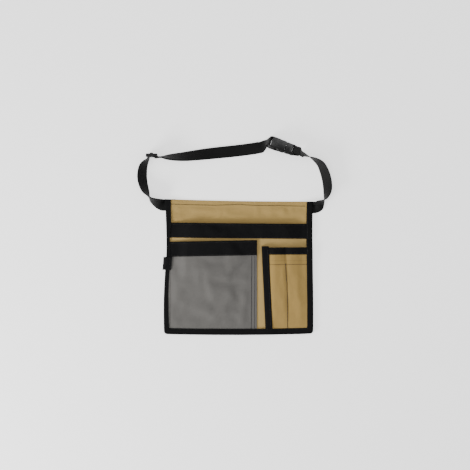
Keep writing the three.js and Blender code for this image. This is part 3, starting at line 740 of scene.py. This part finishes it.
@dataclass
class Strap:
    """A length of webbing laid along the route of its CAD node."""

    node: str
    finish: Webbed
    width: float = 25
    thick: float = 1.725
    step: float = 2.2
    strips: int = 12
    turns: tuple[Place, ...] = ()
    cup: float = 1.8
    cup_reach: float = 15
    selvedge: float = 0.5

    def build(self) -> bpy.types.Object:
        """Makes the strap and lets it stand for its node.

        Returns:
            The strap.
        """
        stations = self._stations()
        places, reach = self._resample(stations)
        deselect()
        bpy.ops.mesh.primitive_grid_add(x_subdivisions=len(places) - 1, y_subdivisions=self.strips, size=1)
        piece = bpy.context.object
        piece.name = f"{self.node}_webbing"
        corners = {}
        for vertex in piece.data.vertices:
            at = round((vertex.co.x + 0.5) * (len(places) - 1))
            share = vertex.co.y
            point, across = places[at]
            corners[vertex.index] = (at * reach, (share + 0.5) * self.width * MM)
            along = places[min(at + 1, len(places) - 1)][0] - places[max(at - 1, 0)][0]
            bow = across.cross(along.normalized()) * self._cup(point) * (1 - 4 * share * share)
            vertex.co = point + across * (share * self.width * MM) + bow
        layer = piece.data.uv_layers.active or piece.data.uv_layers.new(name="run")
        for loop in piece.data.loops:
            layer.data[loop.index].uv = corners[loop.vertex_index]
        finish_modifier(piece, "SOLIDIFY", thickness=self.thick * MM, offset=0)
        round_edges(piece, self.selvedge, segments=3, angle=60)
        edit(piece, lambda: bpy.ops.mesh.normals_make_consistent(inside=False))
        for vertex in piece.data.vertices:
            vertex.co.z = max(0.0, vertex.co.z)
        dress(piece, self.finish.material())
        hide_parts(self.node)
        return piece

    def _cup(self, point: Vector) -> float:
        """How far the webbing bows crosswise at a point of its route, where it turns over."""
        x, y = point.x / MM, point.y / MM
        gaps = [math.hypot(x - turn[0], y - turn[1]) / self.cup_reach for turn in self.turns]
        return self.cup * MM * math.exp(-(min(gaps) ** 2))

    def _stations(self) -> list[tuple[Vector, Vector]]:
        """The middle and the crosswise direction of each section of the CAD node, in order."""
        source = copy_node(self.node, f"{self.node}_route")
        mesh = bmesh.new()
        mesh.from_mesh(source.data)
        bpy.data.objects.remove(source)
        stations = []
        for section in self._sections(mesh):
            first, *others = sorted((vertex.co for vertex in section), key=lambda place: tuple(place))
            others.sort(key=lambda place: (place - first).length)
            across = ((others[1] + others[2]) - (first + others[0])).normalized()
            if stations and across.dot(stations[-1][1]) < 0:
                across.negate()
            stations.append((sum((vertex.co for vertex in section), Vector()) / 4, across))
        mesh.free()
        return stations

    def _sections(self, mesh: bmesh.types.BMesh) -> list[list[bmesh.types.BMVert]]:
        """The four corners of each section, from one end of the strap to the other.

        Every edge of the node joins corners of one section or of two that follow each other, so the
        sections are the steps by which the whole mesh is reached from the four corners of an end.
        """
        mesh.verts.ensure_lookup_table()
        end = self._steps([mesh.verts[0]])[-1][0]
        near = [vertex for step in self._steps([end])[1:3] for vertex in step]
        for others in combinations(near, 3):
            steps = self._steps([end, *others])
            if all(len(step) == 4 for step in steps):
                return steps
        raise ValueError(f"{self.node} has no end of four corners")

    def _steps(self, start: list[bmesh.types.BMVert]) -> list[list[bmesh.types.BMVert]]:
        """The points of a mesh in the order in which they are reached along its edges."""
        steps, seen = [start], set(start)
        while steps[-1]:
            onward = {edge.other_vert(vertex) for vertex in steps[-1] for edge in vertex.link_edges} - seen
            seen |= onward
            steps.append(sorted(onward, key=lambda vertex: vertex.index))
        return steps[:-1]

    def _resample(self, stations: list[tuple[Vector, Vector]]) -> tuple[list[tuple[Vector, Vector]], float]:
        """Even sections along a smooth line through the stations, and the distance between them."""
        fine = []
        for k in range(len(stations) - 1):
            around = [stations[min(len(stations) - 1, max(0, k + near))] for near in (-1, 0, 1, 2)]
            for part in range(6):
                fine.append(self._between(around, part / 6))
        fine.append(stations[-1])
        reached = [0.0]
        for (before, _), (after, _) in zip(fine, fine[1:]):
            reached.append(reached[-1] + (after - before).length)
        count = max(2, round(reached[-1] / (self.step * MM)))
        places, at = [], 0
        for k in range(count + 1):
            goal = reached[-1] * k / count
            while at < len(fine) - 2 and reached[at + 1] < goal:
                at += 1
            share = (goal - reached[at]) / max(1e-9, reached[at + 1] - reached[at])
            point = fine[at][0].lerp(fine[at + 1][0], share)
            across = fine[at][1].lerp(fine[at + 1][1], share).normalized()
            places.append((point, across))
        return places, reached[-1] / count

    def _between(self, around: list[tuple[Vector, Vector]], share: float) -> tuple[Vector, Vector]:
        """A section at a share of the way between the middle two of four stations."""
        one, two, three, four = (point for point, _ in around)
        point = 0.5 * (
            2 * two
            + (three - one) * share
            + (2 * one - 5 * two + 4 * three - four) * share**2
            + (3 * two - one - 3 * three + four) * share**3
        )
        return point, around[1][1].lerp(around[2][1], share).normalized()


@dataclass
class Seam:
    """A row of stitches over the cloth, along a line seen from above. Millimetres."""

    name: str
    path: list[Place]
    pitch: float = 3.2
    length: float = 2.5
    radius: float = 0.3
    zigzag: float = 0.0

    def places(self) -> list[tuple[Place, Place]]:
        """The two ends of each stitch."""
        ends = []
        for start, end in zip(self.path, self.path[1:]):
            along = Vector(end) - Vector(start)
            count = max(1, round(along.length / self.pitch))
            heading = along.normalized()
            sideways = Vector((-heading.y, heading.x)) * self.zigzag
            for k in range(count):
                middle = Vector(start) + along * ((k + 0.5) / count)
                side = sideways if k % 2 else -sideways
                reach = heading * (self.length / 2)
                ends.append((tuple(middle - reach - side), tuple(middle + reach + side)))
        return ends


@dataclass
class Stitching:
    """All the rows that are sewn in one thread, as one piece."""

    name: str
    seams: list[Seam]
    colour: Colour
    sunk: float = 0.35

    def build(self, heights: Heights) -> bpy.types.Object:
        """Lays every stitch on the surface under it.

        Args:
            heights: the finished cloth.

        Returns:
            The piece.
        """
        mesh = bmesh.new()
        for seam in self.seams:
            template = self._stitch(seam)
            LOG.info("%s: the row %s", self.name, seam.name)
            for start, end in seam.places():
                ends = [self._on(heights, place, seam.radius) for place in (start, end)]
                if None in ends:
                    continue
                before = len(mesh.verts)
                mesh.from_mesh(template)
                mesh.verts.ensure_lookup_table()
                along = ends[1] - ends[0]
                turn = along.to_track_quat("X", "Z").to_matrix().to_4x4()
                place = Matrix.Translation((ends[0] + ends[1]) / 2) @ turn
                bmesh.ops.transform(mesh, matrix=place, verts=mesh.verts[before:])
            bpy.data.meshes.remove(template)
        data = bpy.data.meshes.new(self.name)
        mesh.to_mesh(data)
        mesh.free()
        piece = bpy.data.objects.new(self.name, data)
        bpy.context.collection.objects.link(piece)
        dress(piece, Thread(f"{self.name}_thread", self.colour).material(), 60)
        return piece

    def _on(self, heights: Heights, place: Place, radius: float) -> Optional[Vector]:
        """A place on the surface, sunk by a share of the thread's radius."""
        level = heights.at(place[0] * MM, place[1] * MM)
        if level is None:
            return None
        return Vector((place[0] * MM, place[1] * MM, level + radius * MM * (1 - 2 * self.sunk)))

    def _stitch(self, seam: Seam) -> bpy.types.Mesh:
        """One stitch along X, thick in the middle and closing at its ends."""
        deselect()
        bpy.ops.mesh.primitive_uv_sphere_add(segments=8, ring_count=5, radius=seam.radius * MM)
        stitch = bpy.context.object
        edit(
            stitch,
            lambda: bpy.ops.transform.rotate(value=math.pi / 2, orient_axis="Y", center_override=(0, 0, 0)),
            lambda: bpy.ops.transform.resize(value=(seam.length / 2 / seam.radius, 1, 1)),
        )
        template = stitch.data.copy()
        bpy.data.objects.remove(stitch)
        return template


@dataclass(frozen=True)
class Thread:
    """Twisted sewing thread."""

    name: str
    colour: Colour

    def material(self) -> bpy.types.Material:
        """The thread with its twist and a dull sheen."""
        graph = Graph(self.name)
        x, y, z = graph.place()
        twist = ((x + y + z) * 9.0).sin() * 0.5 + 0.5
        fluff = graph.cloud(1.5)
        graph.set(
            Base_Color=graph.blend(fluff, scaled(self.colour, 0.8), scaled(self.colour, 1.25)),
            Roughness=0.6 + 0.15 * fluff,
            Sheen_Weight=0.2,
            Specular_IOR_Level=0.25,
        )
        graph.bump(twist, 0.5, 0.1)
        return graph.material


@dataclass
class MouldedPiece:
    """A moulded fitting of the belt: the CAD node's form with its edges rounded and its relief added."""

    node: str
    finish: Moulded
    heading: float
    lean: float
    edge: float = 0.35
    rail_swell: float = 1.0
    strap_room: float = 26.0

    def build(self) -> bpy.types.Object:
        """Makes the fitting and lets it stand for its node.

        Returns:
            The fitting.
        """
        self.piece = copy_node(self.node, f"{self.node}_moulding")
        place = self.frame()
        back = place.inverted()
        for vertex in self.piece.data.vertices:
            inner = back @ vertex.co
            if abs(inner.y) > self.strap_room / 2 * MM:
                inner.z *= self.rail_swell
                vertex.co = place @ inner
        round_edges(self.piece, self.edge, segments=3, angle=40)
        dress(self.piece, self.finish.material(), 35)
        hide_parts(self.node)
        return self.piece

    def frame(self) -> Matrix:
        """The fitting's own frame: X along the strap, Y across it, Z out of the face that shows."""
        heading, lean = math.radians(self.heading), math.radians(self.lean)
        along = Vector((math.cos(heading), math.sin(heading), 0))
        inwards = Vector((math.sin(heading), -math.cos(heading), 0)) * math.cos(lean)
        across = inwards + Vector((0, 0, math.sin(lean)))
        out = across.cross(along)
        axes = Matrix((along, -across, out)).transposed()
        points = [axes.transposed() @ vertex.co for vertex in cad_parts[self.node].data.vertices]
        lows = Vector([min(point[k] for point in points) for k in range(3)])
        highs = Vector([max(point[k] for point in points) for k in range(3)])
        self.half = (highs - lows) / 2 / MM
        centre = axes @ ((lows + highs) / 2)
        return Matrix.Translation(centre) @ axes.to_4x4()


@dataclass
class Relief:
    """Raised ribs and pads on the buckle's face, in the fitting's own frame. Millimetres."""

    name: str
    bars: list[tuple[float, float, float, float]]
    rise: float = 0.55
    depth: float = 0.9

    def build(self, fitting: MouldedPiece) -> bpy.types.Object:
        """Adds the bars to a fitting's face.

        Args:
            fitting: the fitting, built.

        Returns:
            The bars, as one piece.
        """
        place = fitting.frame()
        parts = []
        for along, across, length, wide in self.bars:
            deselect()
            middle = fitting.half.z + self.rise - self.depth / 2
            bpy.ops.mesh.primitive_cube_add(size=1, location=(along * MM, across * MM, middle * MM))
            bar = bpy.context.object
            bar.scale = (length * MM, wide * MM, self.depth * MM)
            settle(bar)
            round_edges(bar, min(length, wide, self.depth) * 0.45, segments=4, angle=30)
            parts.append(bar)
        deselect()
        for bar in parts:
            bar.select_set(True)
        bpy.context.view_layer.objects.active = parts[0]
        bpy.ops.object.join()
        piece = bpy.context.object
        piece.name = self.name
        piece.matrix_world = place
        settle(piece)
        dress(piece, fitting.finish.material(), 35)
        return piece


@dataclass
class Studio:
    """Floor, soft lights and the camera straight above, as in the photograph."""

    centre: tuple[float, float] = (-0.0086, 0.0688)
    frame_width: float = 1.0105
    lens: float = 100
    sensor: float = 36
    floor_side: float = 9.0
    world: float = 0.5

    def build(self) -> None:
        """Sets the stage."""
        deselect()
        bpy.ops.mesh.primitive_plane_add(size=self.floor_side, location=(*self.centre, -0.1 * MM))
        floor = bpy.context.object
        floor.name = "pale_floor"
        settle(floor)
        floor.data.materials.append(Floor().material())
        world = bpy.context.scene.world or bpy.data.worlds.new("studio")
        bpy.context.scene.world = world
        world.use_nodes = True
        background = world.node_tree.nodes["Background"]
        background.inputs["Color"].default_value = (1, 1, 1, 1)
        background.inputs["Strength"].default_value = self.world
        self._light("softbox_above", (-0.2, 0.2, 2.2), (2.6, 2.6), 24)
        self._light("softbox_side", (-1.5, -0.9, 0.75), (0.9, 0.5), 42)
        self._camera()

    def _light(
        self,
        name: str,
        place: tuple[float, float, float],
        size: tuple[float, float],
        power: float,
    ) -> None:
        """An area light that faces the apron."""
        data = bpy.data.lights.new(name, "AREA")
        data.shape = "RECTANGLE"
        data.size, data.size_y = size
        data.energy = power
        light = bpy.data.objects.new(name, data)
        light.location = place
        towards = Vector((*self.centre, 0)) - Vector(place)
        light.rotation_euler = towards.to_track_quat("-Z", "Y").to_euler()
        bpy.context.collection.objects.link(light)

    def _camera(self) -> None:
        """The camera at its height above the middle of the picture, looking straight down."""
        data = bpy.data.cameras.new("camera")
        data.lens = self.lens
        data.sensor_width = self.sensor
        camera = bpy.data.objects.new("camera", data)
        camera.location = (*self.centre, self.frame_width * self.lens / self.sensor)
        bpy.context.collection.objects.link(camera)
        bpy.context.scene.camera = camera


@dataclass
class Apron:
    """The apron's cloth, tapes and stitches."""

    tan: Woven = Woven("tan_canvas", from_srgb(172, 143, 84))
    pocket_tan: Woven = Woven("pocket_tan_canvas", from_srgb(160, 131, 73))
    # Painted light: the big pocket's canvas is the tan canvas made about a tenth lighter and less yellow, to
    # lift the shade that falls on its narrow strips between the raised tapes.
    lightened_big_tan: Woven = Woven("big_pocket_canvas_lightened", from_srgb(176, 148, 91))
    grey: Woven = Woven("grey_canvas", from_srgb(98, 96, 93), mottle=0.07)
    tape: Woven = Woven(
        "black_tape",
        from_srgb(12, 12, 13),
        thread=0.6,
        roughness=0.8,
        sheen=0.02,
        specular=0.1,
        mottle=0.2,
    )
    thread: Colour = from_srgb(20, 19, 18)
    brown_thread: Colour = from_srgb(70, 56, 30)

    def drapes(self) -> dict[str, Drape]:
        """The drape of each cut of canvas, built, by name."""
        made = {
            "panel": Drape(
                node="back_panel",
                below=[],
                low=(-147, 97),
                high=(145, 134),
                open_top=False,
                folds=[
                    Fold((-142, 104), (-50, 102), 7, 3.0),
                    Fold((-40, 110), (40, 106), 6, 2.4),
                    Fold((50, 108), (140, 112), 6, 2.2),
                    Fold((40, 123), (130, 120), 7, 2.2),
                    Fold((-130, 124), (-30, 120), 6, 2.4),
                ],
                reach=3.0,
            ),
            "big": Drape(
                node="big_pocket",
                below=["back_panel"],
                low=(-147, 58),
                high=(145, 97),
                open_top=True,
                folds=[Fold((-150, 64), (-50, 60), 6, 2.0), Fold((-20, 76), (90, 72), 8, -1.4)],
                reach=2.4,
                ease=14,
            ),
            "grey": Drape(
                node="grey_pocket",
                below=["big_pocket"],
                low=(-147, -132),
                high=(24, 60),
                open_top=True,
                folds=[
                    Fold((-139, 20), (-140, -128), 3.2, 2.0),
                    Fold((-62, -30), (20, -40), 6, -2.6),
                    Fold((-40, -18), (22, -24), 7, 1.8),
                    Fold((-118, 18), (-124, -90), 9, 1.8),
                    Fold((-100, -50), (-134, -124), 6, 2.2),
                    Fold((22, 18), (-16, -18), 6, -2.6),
                    Fold((-84, 18), (-70, -70), 8, -1.8),
                    Fold((14, -60), (2, -128), 7, 2.2),
                    Fold((-66, -124), (-14, -64), 9, 1.8),
                ],
                reach=3.2,
                slack=0.04,
            ),
            "pencil": Drape(
                node="pencil_pocket",
                below=["big_pocket"],
                low=(73.5, -132),
                high=(145, 43),
                open_top=True,
                folds=[
                    Fold((70, -100), (98, -84), 6, 1.6),
                    Fold((110, -90), (142, -66), 6, 1.8),
                    Fold((110, -125), (142, -113), 4, 1.8),
                ],
                reach=3.4,
                press=0.5,
                held_lines=[((99.6, 8), (104.2, -132))],
                ease=10,
            ),
        }
        for drape in made.values():
            drape.build()
        return made

    def build(self) -> list[bpy.types.Object]:
        """Builds every cut of cloth and tape and its stitches.

        Returns:
            The pieces.
        """
        drapes = self.drapes()
        rows = [
            ("back_panel", self.tan, Slot.TAN, "panel"),
            # The big pocket wears the lightened canvas, painted light against the shade between the tapes.
            ("big_pocket", self.lightened_big_tan, Slot.TAN, "big"),
            ("big_pocket_tape", self.tape, Slot.TAPE, "big"),
            ("grey_pocket", self.grey, Slot.GREY, "grey"),
            ("grey_pocket_tape", self.tape, Slot.TAPE, "grey"),
            ("pencil_pocket", self.pocket_tan, Slot.TAN, "pencil"),
            ("pencil_pocket_top_binding", self.tape, Slot.TAPE, "pencil"),
            ("pencil_pocket_side_binding", self.tape, Slot.TAPE, None),
            ("edge_binding", self.tape, Slot.TAPE, None),
        ]
        made = {}
        for node, finish, slot, drape in rows:
            cloth = ClothPiece(node=node, finish=finish, slot=slot, drape=drapes[drape] if drape else None)
            made[node] = cloth.build()
        tab = ClothPiece(node="edge_tab", finish=self.tape, slot=Slot.TAPE, ribs=0.3, levels=3)
        made["edge_tab"] = tab.build()
        heights = Heights(list(made.values()))
        black = Stitching("black_stitching", self._black_seams(), self.thread)
        brown = Stitching("brown_stitching", self._brown_seams(), self.brown_thread)
        return [*made.values(), black.build(heights), brown.build(heights)]

    def _black_seams(self) -> list[Seam]:
        """The rows sewn in black thread."""
        hem = [(-147, 135.0), (-98, 133.6), (-52, 132.6), (0, 134.4), (34, 132.3), (97, 131.7), (142, 130.4)]
        divider = [(99.6, 8), (100.4, -8), (101.4, -22), (103.1, -37)]
        divider += [(102.6, -46), (103.9, -56), (104.2, -132)]
        return [
            Seam("hem", hem, pitch=3.0, length=2.9, radius=0.6),
            Seam("big_tape_low", [(-146, 64.5), (142, 63.0)]),
            Seam("big_tape_high", [(-146, 91.3), (142, 89.8)]),
            Seam("grey_tape_low", [(-146, 24.6), (36, 28.4)]),
            Seam("grey_tape_high", [(-146, 51.0), (36, 54.6)]),
            Seam("grey_side", [(27.0, 24), (26.2, -132)], pitch=3.0, length=2.9, radius=0.6),
            Seam("grey_edge", [(33.8, 24), (33.0, -132)], pitch=3.0, length=2.9, radius=0.5),
            Seam("pencil_hem", [(64, 5.6), (146, 5.6)], pitch=3.0, length=2.9, radius=0.5),
            # The divider's thread is drawn thicker than real thread, so that its dark line also stands for
            # the painted shade of the furrow along the seam.
            Seam("divider", divider, pitch=3.0, length=3.0, radius=0.75),
            Seam("divider_tack", [(99.4, 8), (99.7, 1.5)], pitch=0.8, length=0.5, zigzag=1.1),
            Seam("corner_tack", [(136, 134), (142, 131)], pitch=1.2, length=0.6, zigzag=1.2),
            Seam("binding_left", [(-147.5, 128), (-147.8, -130)]),
            Seam("binding_low", [(-146, -132.6), (144, -132.6)]),
            Seam("binding_right", [(147.0, 126), (147.2, -130)]),
            Seam("pencil_top", [(60, 29.6), (146, 29.6)]),
            Seam("pencil_side", [(60.2, 40), (68.6, -131)]),
        ]

    def _brown_seams(self) -> list[Seam]:
        """The rows sewn in a thread near the canvas's own colour."""
        return [
            Seam("pencil_hem_high", [(64, 13.8), (146, 13.8)], radius=0.22),
            Seam("divider_mark", [(97.9, 26), (98.3, 20)], pitch=1.6, length=1.2, radius=0.22),
        ]


@dataclass
class Belt:
    """The two straps, the slide and the buckle."""

    webbing: Webbed = Webbed("black_webbing", from_srgb(13, 13, 13))
    plastic: Moulded = Moulded("black_plastic", from_srgb(9, 9, 10))
    heading: float = -19.5
    lean: float = 45

    def build(self) -> list[bpy.types.Object]:
        """Builds the belt.

        Returns:
            The pieces.
        """
        straps = [
            Strap("long_strap", self.webbing, turns=((-193.5, 150.5),)).build(),
            Strap("short_strap", self.webbing, turns=((190.3, 149.4),)).build(),
        ]
        slide = MouldedPiece("strap_slide", self.plastic, 0, 90, edge=0.9, rail_swell=2.3).build()
        socket = MouldedPiece("buckle_socket", self.plastic, self.heading, self.lean)
        plug = MouldedPiece("buckle_plug", self.plastic, self.heading, self.lean)
        made = [*straps, slide, socket.build(), plug.build()]
        ribs = [(-6 + 3.2 * k, 0, 1.3, 17 - 1.1 * k) for k in range(5)]
        grips = [(7 + 2.4 * k, 0, 1.1, 15) for k in range(2)]
        made.append(Relief("socket_ribs", ribs).build(socket))
        made.append(Relief("plug_ribs", grips).build(plug))
        return made


def main() -> None:
    """Builds the studio, the apron and the belt."""
    logging.basicConfig(level=logging.INFO, format="%(name)s: %(message)s")
    Studio().build()
    for group in (Apron(), Belt()):
        for piece in group.build():
            LOG.info("made %s", piece.name)


if __name__ == "__main__":
    main()
